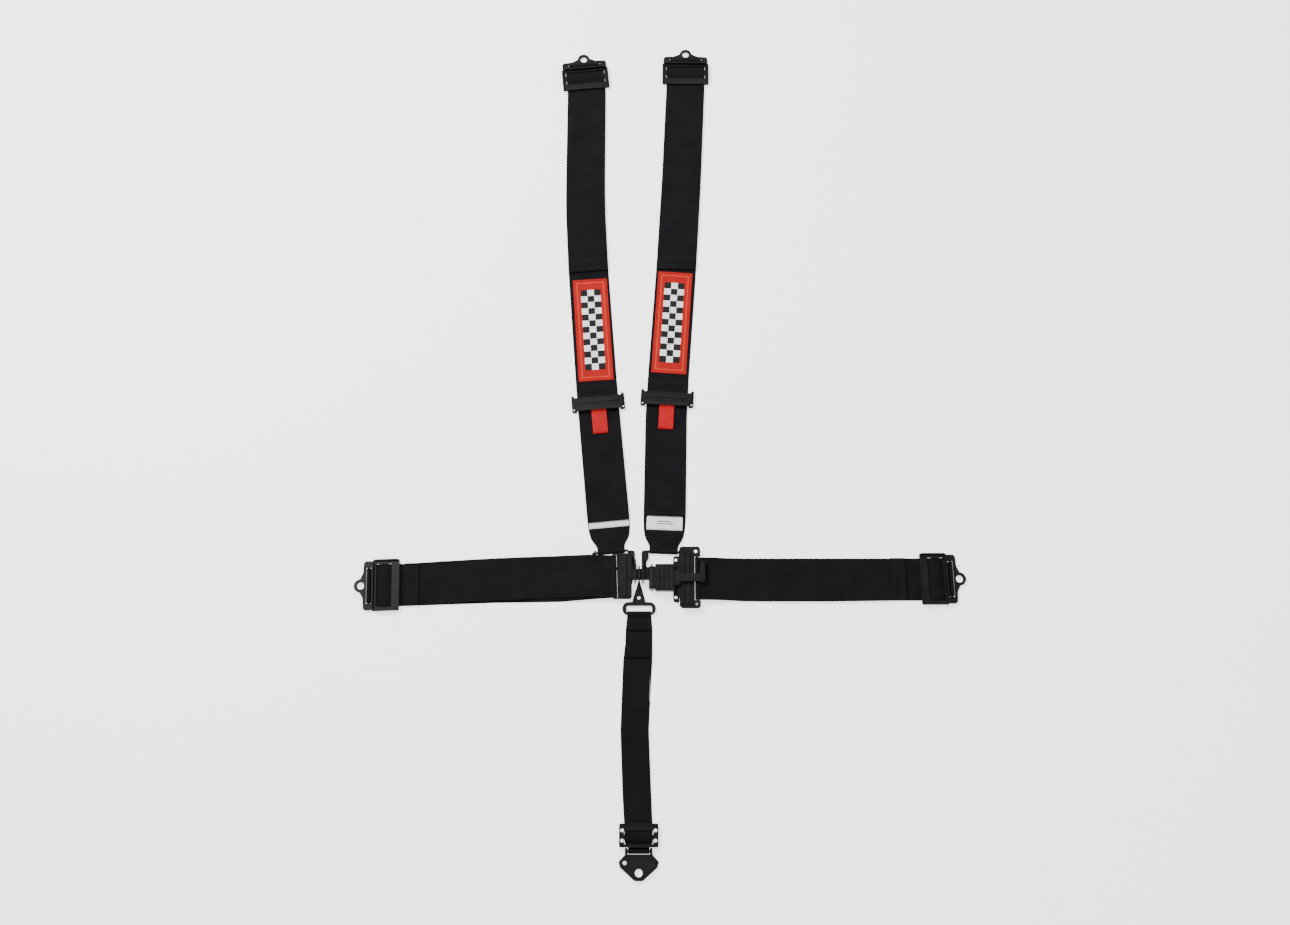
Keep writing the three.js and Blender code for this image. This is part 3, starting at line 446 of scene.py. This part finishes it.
def ribbon(name, points, at, mats, thick=WEB, lift=None, pleat=0.0):
    """A strip swept along points seen from its edge; lift(s, u) raises its upper layers."""
    path = fine_path(points)
    ring = cross_section()
    vertices = []
    faces = []
    length = 0.0
    for i, (s, z, shift, extra) in enumerate(path):
        before, after = path[max(0, i - 1)], path[min(len(path) - 1, i + 1)]
        one = Vector((s - before[0], z - before[1])) if i else Vector((after[0] - s, after[1] - z))
        two = Vector((after[0] - s, after[1] - z)) if i < len(path) - 1 else one
        length += one.length if i else 0.0
        mean = (one.normalized() + two.normalized()).normalized()
        stretch = 1 / max(0.6, mean.dot(one.normalized()))
        x, y, turn, width = at(s)
        a = math.radians(turn)
        cross = Vector((math.cos(a), math.sin(a), 0))
        along = Vector((-math.sin(a), math.cos(a), 0))
        normal = along * (-mean.y) + Vector((0, 0, mean.x))
        centre = Vector((x, y, z)) + cross * shift
        gathered = max(0.0, 1 - width / BELT) if pleat else 0.0
        for u, through in ring:
            swell = 0.0
            if lift is not None and z > LAYER_SPLIT and abs(mean.x) > 0.9:
                swell = lift(s, u)
            if gathered > 0.03 and z > LAYER_SPLIT:
                swell += pleat * gathered * (1 - math.cos(u * 17.0)) * 0.5
            edge = 1.0 - 0.12 * max(0.0, (abs(u) - 0.94) / 0.06)
            p = centre + cross * (u * (width + extra) / 2)
            p += normal * (through * thick / 2 * edge * stretch) + Vector((0, 0, swell))
            vertices.append(world(*p))
    size = len(ring)
    for i in range(len(path) - 1):
        for k in range(size):
            a, b = i * size + k, i * size + (k + 1) % size
            faces.append((a, b, b + size, a + size))
    faces.append(tuple(range(size - 1, -1, -1)))
    last = (len(path) - 1) * size
    faces.append(tuple(range(last, last + size)))
    mesh = bpy.data.meshes.new(name)
    mesh.from_pydata([tuple(v) for v in vertices], [], faces)
    mesh.update()
    if signed_volume(mesh) < 0:
        mesh.flip_normals()
    mesh.polygons.foreach_set("use_smooth", [len(f) == 4 for f in faces])
    return link(mesh, name, mats), length


def signed_volume(mesh):
    mesh.calc_loop_triangles()
    points = [v.co for v in mesh.vertices]
    return sum(points[t.vertices[0]].dot(points[t.vertices[1]].cross(points[t.vertices[2]]))
               for t in mesh.loop_triangles)


def ripple(seed, size, ends, fade=40.0):
    """A gentle wave of an upper layer, nothing near its ends."""
    def lift(s, u):
        free = min(abs(s - e) for e in ends)
        ease = min(1.0, max(0.0, (free - 8) / fade))
        wave = (math.sin(s / 31 + seed) + 0.6 * math.sin(s / 13.7 + 2.1 * seed + 0.8 * u)
                + 0.7 * math.sin(s / 57 + 3.3 * seed) * u)
        return size * ease * ease * (0.5 + 0.22 * wave + 0.25 * u * u)
    return lift


def crease(at, height, width=5.0):
    """The height of a fold mark across the belt, for a distance s."""
    return lambda s: height * math.exp(-((s - at) / width) ** 2)


# ---------- stitching ----------
def stitch_piece(name, runs, at, z, mat, body, pitch=3.6, radius=0.28):
    """Runs of thread in the belt's own plan: [((s, across), (s, across)), ...]."""
    vertices, faces = [], []
    for (s0, c0), (s1, c1) in runs:
        span = math.hypot(s1 - s0, c1 - c0)
        count = max(1, round(span / pitch))
        for k in range(count):
            t0, t1 = (k + 0.14) / count, (k + 0.86) / count
            ends = []
            for t in (t0, (t0 + t1) / 2, t1):
                s, c = s0 + (s1 - s0) * t, c0 + (c1 - c0) * t
                x, y, turn, _ = at(s)
                a = math.radians(turn)
                ends.append(Vector((x + math.cos(a) * c, y + math.sin(a) * c, 0)))
            way = (ends[2] - ends[0]).normalized()
            side = Vector((-way.y, way.x, 0)) * radius
            start = len(vertices)
            for end, up in zip(ends, (0.02, 0.34, 0.02)):
                for corner in (-side, side):
                    vertices.append(world(*(end + corner + Vector((0, 0, z - 0.05)))))
                for corner in (-side * 0.6, side * 0.6):
                    vertices.append(world(*(end + corner + Vector((0, 0, z + up)))))
            for j in (0, 4):
                a = start + j
                faces += [(a, a + 4, a + 6, a + 2), (a + 1, a + 3, a + 7, a + 5),
                          (a + 2, a + 6, a + 7, a + 3), (a, a + 1, a + 5, a + 4)]
            faces += [(start, start + 2, start + 3, start + 1),
                      (start + 8, start + 9, start + 11, start + 10)]
    mesh = bpy.data.meshes.new(name)
    mesh.from_pydata([tuple(v) for v in vertices], [], faces)
    mesh.update()
    if signed_volume(mesh) < 0:
        mesh.flip_normals()
    piece = link(mesh, name, [mat])
    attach(piece, body)
    return piece


def box_stitch(s0, s1, half, inset=5.0, crossed=True):
    h = half - inset
    runs = [((s0, -h), (s0, h)), ((s0, h), (s1, h)), ((s1, h), (s1, -h)), ((s1, -h), (s0, -h))]
    if crossed:
        runs += [((s0, -h), (s1, h)), ((s1, -h), (s0, h))]
    return runs


def rows_stitch(ss, half, inset=4.0):
    h = half - inset
    return [((s, -h), (s, h)) for s in ss]


def declare(piece, node, body):
    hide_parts(node)
    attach(piece, body)


# ---------- shoulder belts ----------
SHOULDER = {
    "left": {
        "rail": (-53.8, 43.5), "tilt": 5.3, "gather": 49, "adjuster": (-80.2, 325.1), "adjuster_tilt": 5.3,
        "anchor": (-115.6, 1042.3), "anchor_tilt": 5.6, "tail": 101, "upper_tail": 592,
        "kinks": [(594, -101.7), (721, -108.6), (786, -109.6), (988, -114.4)],
        "label": (89, 122, 72), "patch": (-91.6, 472.3, 4.1), "bars": False, "seed": 0.4,
    },
    "right": {
        "rail": (39.2, 43.5), "tilt": -2.2, "gather": 51, "adjuster": (47.2, 333.5), "adjuster_tilt": -3.2,
        "anchor": (87.6, 1053.7), "anchor_tilt": -0.6, "tail": 110, "upper_tail": 596,
        "kinks": [(381, 50.5), (594, 65.6), (786, 77.2), (988, 86.0)],
        "label": (84, 124, 64.4), "patch": (57.1, 486.8, -4.0), "bars": True, "seed": 2.3,
    },
}


def moved(point, turn, d):
    a = math.radians(turn)
    return point[0] - math.sin(a) * d, point[1] + math.cos(a) * d


def shoulder(side):
    b = SHOULDER[side]
    name = f"shoulder_{side}_"
    web = webbing_material(f"web_shoulder_{side}", b["tilt"])
    lock = moved(b["adjuster"], b["adjuster_tilt"], ADJUSTER["lock"])
    upper = moved(b["adjuster"], b["adjuster_tilt"], ADJUSTER["upper"])

    low_length = math.dist(lock, b["rail"])
    narrow = b["gather"]
    plan = plan_of(keys_at(0, *b["rail"], b["tilt"],
                           [(-6, narrow), (7, narrow), (12, narrow + 1), (30, BELT - 3), (60, BELT)])
                   + keys_at(low_length, *lock, b["adjuster_tilt"], [(-30, BELT), (8, BELT)]))
    at = smooth_plan(plan, [0, low_length], 14)
    tail = b["tail"] - b["rail"][1]
    path = [(38, FRONT), (22, FRONT), *turn_path(0, BAR_Z, -1), (22, LOW), (44, LOW), (80, LOW),
            (low_length * 0.5, LOW), (low_length - 30, LOW), *reversed(turn_path(low_length, BAR_Z, 1)),
            (low_length - 30, FRONT), (low_length * 0.5, FRONT), (tail + 34, FRONT), (tail + 26, OVER_LABEL),
            *fold_end(tail, OVER_LABEL, 1)]
    waves = ripple(b["seed"], 1.6, [0, low_length, tail, 38])

    def slope(s, u):
        return waves(s, u) if s > tail + 30 else 0.0
    piece, length = ribbon(name + "lower_belt", path, at, [web], lift=slope, pleat=0.9)
    hem = stitch_piece(name + "tail_stitch", rows_stitch([tail + 6, tail + 21], BELT / 2), at,
                       ON_TAIL_HEM, THREAD, name + "lower")
    sewn = stitch_piece(name + "loop_stitch", box_stitch(12, 34, 30, 4), at, ON_LOOP, THREAD, name + "lower")
    declare(piece, name + "lower_webbing", name + "lower")

    reach = math.dist(b["anchor"], upper)
    rows = slide_rows(SLIDE_LENGTH)
    lean = (b["adjuster_tilt"] + b["anchor_tilt"]) / 2
    along = reach / (b["anchor"][1] - upper[1])
    kinks = [((y - upper[1]) * along, x, y, lean, BELT) for y, x in b["kinks"]]
    kinks = [k for k in kinks if 60 < k[0] < reach - 70]
    plan = plan_of(keys_at(0, *upper, b["adjuster_tilt"], [(-6, BELT), (34, BELT)]) + kinks
                   + anchor_keys(reach, b))
    at_up = smooth_plan(plan, [0, reach, reach - 30], 30)
    end = (b["upper_tail"] - upper[1]) * along
    path = [(27, FRONT), *turn_path(0, BAR_Z, -1), (34, LOW), (reach * 0.5, LOW), (reach - 60, LOW),
            *anchor_path(reach, rows), (reach - rows["end"] - 6, FRONT), *fold_end(end, FRONT, 1)]
    waves = ripple(b["seed"] + 1, 2.2, [27, reach - rows["end"], end])
    marks = [crease(end + 128, 1.6, 4), crease(end + 250, 1.0, 5)]

    def top_wave(s, u):
        if s < end + 30 or s > reach - rows["end"] - 8:
            return 0.0
        return waves(s, u) + sum(mark(s) for mark in marks)
    piece, length = ribbon(name + "upper_belt", path, at_up, [web], lift=top_wave)
    hem = stitch_piece(name + "upper_hem_stitch", rows_stitch([end + 6, end + 21], BELT / 2), at_up,
                       ON_HEM, THREAD, name + "upper")
    sewn = stitch_piece(name + "adjuster_stitch", box_stitch(9, 24, BELT / 2, 5, False), at_up,
                        ON_BELT, THREAD, name + "upper")
    declare(piece, name + "upper_webbing", name + "upper")

    label(name, b, name + "lower")
    pull_tab(name, b)
    patch(name, b)


def slab(name, mats, cells, turn, centre):
    """A thin piece of closed cells (x0, x1, y0, y1, z0, z1, material)."""
    vertices, faces, slots = [], [], []
    a = math.radians(turn)
    for x0, x1, y0, y1, z0, z1, slot in cells:
        start = len(vertices)
        inset = min(0.15, (z1 - z0) * 0.5)
        for z, trim in ((z0, 0.0), (z1 - inset, 0.0), (z1, inset)):
            for x, y in ((x0 + trim, y0 + trim), (x1 - trim, y0 + trim), (x1 - trim, y1 - trim),
                         (x0 + trim, y1 - trim)):
                px = centre[0] + math.cos(a) * x - math.sin(a) * y
                py = centre[1] + math.sin(a) * x + math.cos(a) * y
                vertices.append(world(px, py, z))
        for layer in (0, 4):
            for k in range(4):
                p, q = start + layer + k, start + layer + (k + 1) % 4
                faces.append((p, q, q + 4, p + 4))
                slots.append(slot)
        faces += [(start + 3, start + 2, start + 1, start), tuple(start + 8 + k for k in range(4))]
        slots += [slot, slot]
    mesh = bpy.data.meshes.new(name)
    mesh.from_pydata([tuple(v) for v in vertices], [], faces)
    mesh.update()
    piece = link(mesh, name, mats)
    mesh.polygons.foreach_set("material_index", slots)
    return piece


def label(name, b, body):
    """The white label under the tail's end, with two plain bars on the side that has them."""
    low, high, width = b["label"]
    turn = b["tilt"]
    white = cloth_material(name + "label_white", (0.86, 0.86, 0.84), turn, 0.0008, 0.6, 0.1)
    centre = moved(b["rail"], turn, (low + high) / 2 - b["rail"][1])
    half, tall = width / 2, (high - low) / 2
    at = plan_of(keys_at(0, *centre, turn, [(-200, half * 2), (200, half * 2)]))
    z = LABEL_Z + LABEL_THICK / 2
    sheet, _ = ribbon(name + "label", [(-tall, z), (tall, z)], at, [white], LABEL_THICK)
    if b["bars"]:
        grey = cloth_material(name + "label_grey", (0.16, 0.16, 0.17), turn, 0.0008, 0.7, 0.0)
        bars = [(0.5, 10.5, 12.6), (0.36, 15, 17)]
        cells = [(-half * 0.42, half * reach, y0 - tall, y1 - tall, LABEL_Z + 0.36, LABEL_Z + 0.42, 0)
                 for reach, y0, y1 in bars]
        marks = slab(name + "label_bars", [grey], cells, turn, centre)
        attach(marks, body)
    declare(sheet, name + "care_label", body)


def pull_tab(name, b):
    """The red pull tab, folded round the adjuster's lower bar and sewn to itself."""
    body = name + "tab"
    red = cloth_material(name + "tab_red", (0.40, 0.003, 0.006), b["adjuster_tilt"], 0.0016, 0.66, 0.02)
    at = plan_of(keys_at(0, *b["adjuster"], b["adjuster_tilt"], [(-80, TAB_WIDTH), (20, TAB_WIDTH)]))
    end = ADJUSTER["lower"] - 47
    path = [(end, 6.7), (ADJUSTER["lower"] - 12, 6.7),
            *turn_path(ADJUSTER["lower"], ADJUSTER["lower_z"], 1, ADJUSTER["lower_r"] + 0.9, 0.6, 4, 14),
            (ADJUSTER["lower"] - 8, 5.1), (end, 5.1)]
    piece, length = ribbon(name + "tab", path, at, [red], 1.2)
    thread = cloth_material(name + "tab_thread", (0.28, 0.003, 0.005), 0, 0.0009, 0.6, 0.02)
    runs = box_stitch(end + 4, end + 24, TAB_WIDTH / 2, 3.2)
    sewn = stitch_piece(name + "tab_stitch", runs, at, 7.32, thread, body, 2.6, 0.24)
    declare(piece, name + "pull_tab", body)


def border(half, tall, rim, low, high, slot):
    """Four slab cells round a rectangle's inside edge."""
    return [(x0, x1, y0, y1, low, high, slot) for x0, x1, y0, y1 in (
        (-half, half, -tall, -tall + rim), (-half, half, tall - rim, tall),
        (-half, -half + rim, -tall + rim, tall - rim), (half - rim, half, -tall + rim, tall - rim))]


def patch(name, b):
    """A sewn badge: red ground with a raised rim, orange inset border, plain chequer in the middle."""
    x, y, turn = b["patch"]
    red = cloth_material(name + "patch_red", (0.36, 0.005, 0.004), turn, 0.0011, 0.7, 0.02)
    orange = cloth_material(name + "patch_orange", (0.6, 0.04, 0.014), turn + 45, 0.0010, 0.6, 0.02)
    white = cloth_material(name + "patch_white", (0.85, 0.85, 0.85), turn + 90, 0.0010, 0.6, 0.02)
    black = cloth_material(name + "patch_black", (0.008, 0.008, 0.009), turn + 90, 0.0010, 0.65, 0.02)
    half, tall, inset = 32.5, 103.0, 6.2
    base = [(-half, half, -tall, tall, LABEL_Z, LABEL_Z + 0.6, 0)]
    ground = slab(name + "badge", [red], base, turn, (x, y))
    sunk = LABEL_Z + 0.55
    cells = border(half, tall, 2.4, sunk, LABEL_Z + 0.95, 0)
    cells += border(half - inset, tall - inset, 2.2, sunk, LABEL_Z + 0.85, 1)
    size, count = 12.5, 13
    for row in range(count):
        for column in range(3):
            cx, cy = (column - 1) * size, (row - (count - 1) / 2) * size
            cells.append((cx - size / 2, cx + size / 2, cy - size / 2, cy + size / 2, sunk,
                          LABEL_Z + 0.8, 2 if (row + column) % 2 else 3))
    marks = slab(name + "badge_thread", [red, orange, white, black], cells, turn, (x, y))
    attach(marks, name + "upper")
    declare(ground, name + "patch", name + "upper")


shoulder("left")
shoulder("right")

# ---------- lap belts ----------
LAP = {
    "left": {"bar": (-47.6, -2.0), "anchor": (-481.7, -17.7), "anchor_tilt": 92.1, "tail": -419,
             "down": (40, 96), "spread": 4.2, "on": "tongue_plate", "marks": (-352, -250), "seed": 1.1},
    "right": {"bar": (98.5, -5.8), "anchor": (547.7, -5.6), "anchor_tilt": -89.9, "tail": 468,
              "down": (22, 78), "spread": 0.0, "on": "latch_frame", "marks": (366, 420), "seed": 3.0},
}


LAP_GATHER = 76


def lap(side):
    b = LAP[side]
    name, body = f"lap_{side}_", f"lap_{side}_belt"
    turn = b["anchor_tilt"]
    web = webbing_material(f"web_lap_{side}", turn)
    reach = math.dist(b["anchor"], b["bar"])
    rows = slide_rows(SLIDE_LENGTH)
    plan = plan_of(keys_at(0, *b["bar"], turn, [(-6, LAP_GATHER), (8, LAP_GATHER), (30, BELT)])
                   + anchor_keys(reach, b))
    at = smooth_plan(plan, [0, reach, reach - 30], 16)
    lift = TONGUE_Z - BAR_Z
    high, low = b["down"]
    tail = abs(b["tail"] - b["bar"][0])
    spread = b["spread"]

    def fan(s):
        """How far the front layer strays sideways from the one below."""
        along = min(1.0, max(0.0, s / tail))
        return 2.5 * math.sin(math.pi * along) + spread * (1 - along) ** 2
    mid = [(tail * k, FRONT, fan(tail * k)) for k in (0.85, 0.7, 0.55, 0.4)]
    path = [*reversed(fold_end(tail, FRONT, -1)), *mid, (low + 4, FRONT, fan(low)),
            (high + 4, FRONT + lift, spread * 0.7), *turn_path(0, TONGUE_Z, -1),
            (high, LOW + lift, -spread * 0.3), (low, LOW, -spread * 0.6), (reach * 0.5, LOW),
            (reach - 60, LOW), *anchor_path(reach, rows), (reach - rows["end"] - 2, FRONT)]
    waves = ripple(b["seed"], 2.4, [low, tail], 60)
    marks = [crease(abs(m - b["bar"][0]), 1.3, 4) for m in b["marks"]]

    def top_wave(s, u):
        if s < low + 6 or s > tail - 30:
            return 0.0
        return waves(s, u) + sum(mark(s) for mark in marks)
    piece, length = ribbon(name + "belt", path, at, [web], lift=top_wave, pleat=0.5)
    hem = stitch_piece(name + "hem_stitch", rows_stitch([tail - 6, tail - 21], BELT / 2), at,
                       ON_HEM, THREAD, body)
    declare(piece, name + "webbing", body)


lap("left")
lap("right")


# ---------- crotch belt ----------
CROTCH_SLIDE = 38.4
CROTCH_LOOP = 43
CROTCH_SLOT = 35.8
TAIL_END = -123.6


def crotch():
    rail, anchor, body = (-3.9, -67.2), (-4.2, -466.9), "crotch_belt"
    web = webbing_material("web_crotch", 0, pitch=0.002)
    reach = rail[1] - anchor[1]
    rows = slide_rows(CROTCH_SLIDE)

    def key(y, x, width):
        return (rail[1] - y, x, y, 180, width)
    wide = CROTCH_BELT
    plan = plan_of([key(rail[1] + 6, rail[0], CROTCH_LOOP), key(rail[1] - 8, rail[0], CROTCH_LOOP),
                    key(rail[1] - 30, -4.2, wide), key(-150, -6, wide), key(-268, -8.6, wide),
                    key(-384, -6.6, wide), key(anchor[1] + 50, -5.2, wide),
                    key(anchor[1] + 14, anchor[0], wide), key(anchor[1] + 6.5, anchor[0], CROTCH_SLOT),
                    key(anchor[1] - 8, anchor[0], CROTCH_SLOT)])
    at = smooth_plan(plan, [0, reach, reach - 24], 24)
    tail = rail[1] - TAIL_END
    path = [(30, FRONT), *turn_path(0, BAR_Z, -1), (30, LOW), (83, LOW, -1), (201, LOW, 2.5), (317, LOW),
            (reach - 50, LOW), *anchor_path(reach, rows, 14), (reach - rows["end"] - 3, FRONT),
            (317, FRONT, 1), (201, FRONT, 3.5), (170, OVER_LABEL, 3), (83, OVER_LABEL, 2),
            *fold_end(tail, OVER_LABEL, 1, 22)]
    waves = ripple(5.0, 1.6, [201, reach - rows["end"]], 40)
    mark = crease(215, 1.5, 4)

    def top_wave(s, u):
        return waves(s, u) + mark(s) if 206 < s < reach - rows["end"] - 8 else 0.0
    piece, length = ribbon("crotch_belt_webbing", path, at, [web], lift=top_wave)
    hem = stitch_piece("crotch_hem_stitch", rows_stitch([tail + 6, tail + 17], wide / 2), at,
                       ON_TAIL_HEM, THREAD, body)
    sewn = stitch_piece("crotch_loop_stitch", box_stitch(10, 27, 20, 3, False), at, ON_BELT, THREAD, body)
    declare(piece, "crotch_webbing", body)
    white = cloth_material("crotch_label_white", (0.78, 0.78, 0.75), 0, 0.0008, 0.6, 0.1)
    at_label = plan_of([key(rail[1], 0, 30), key(anchor[1], 0.5, 30)])
    z = LOW + WEB / 2 + 0.5
    tag, tall = ribbon("crotch_tag", [(92, z), (152, z)], at_label, [white], LABEL_THICK)
    declare(tag, "crotch_label", body)


crotch()

# ---------- hardware ----------
PLAIN = {"lever_pin", "adjuster_rivet", "lever_spring"}
EDGE_BREAK = 0.0005
for node in frame["nodes"]:
    piece = bpy.data.objects.get(node)
    if piece is None or piece.hide_render or node.endswith(("webbing", "label", "patch", "pull_tab")):
        continue
    finish = BRIGHT if node in PLAIN else STEEL_DARK if node.endswith("lock_bar") else STEEL
    piece.data.materials.clear()
    piece.data.materials.append(finish)
    soft = piece.modifiers.new("edge_break", "BEVEL")
    soft.width = EDGE_BREAK
    soft.segments = 2
    soft.limit_method = "ANGLE"
    soft.angle_limit = math.radians(40)
    soft.harden_normals = False
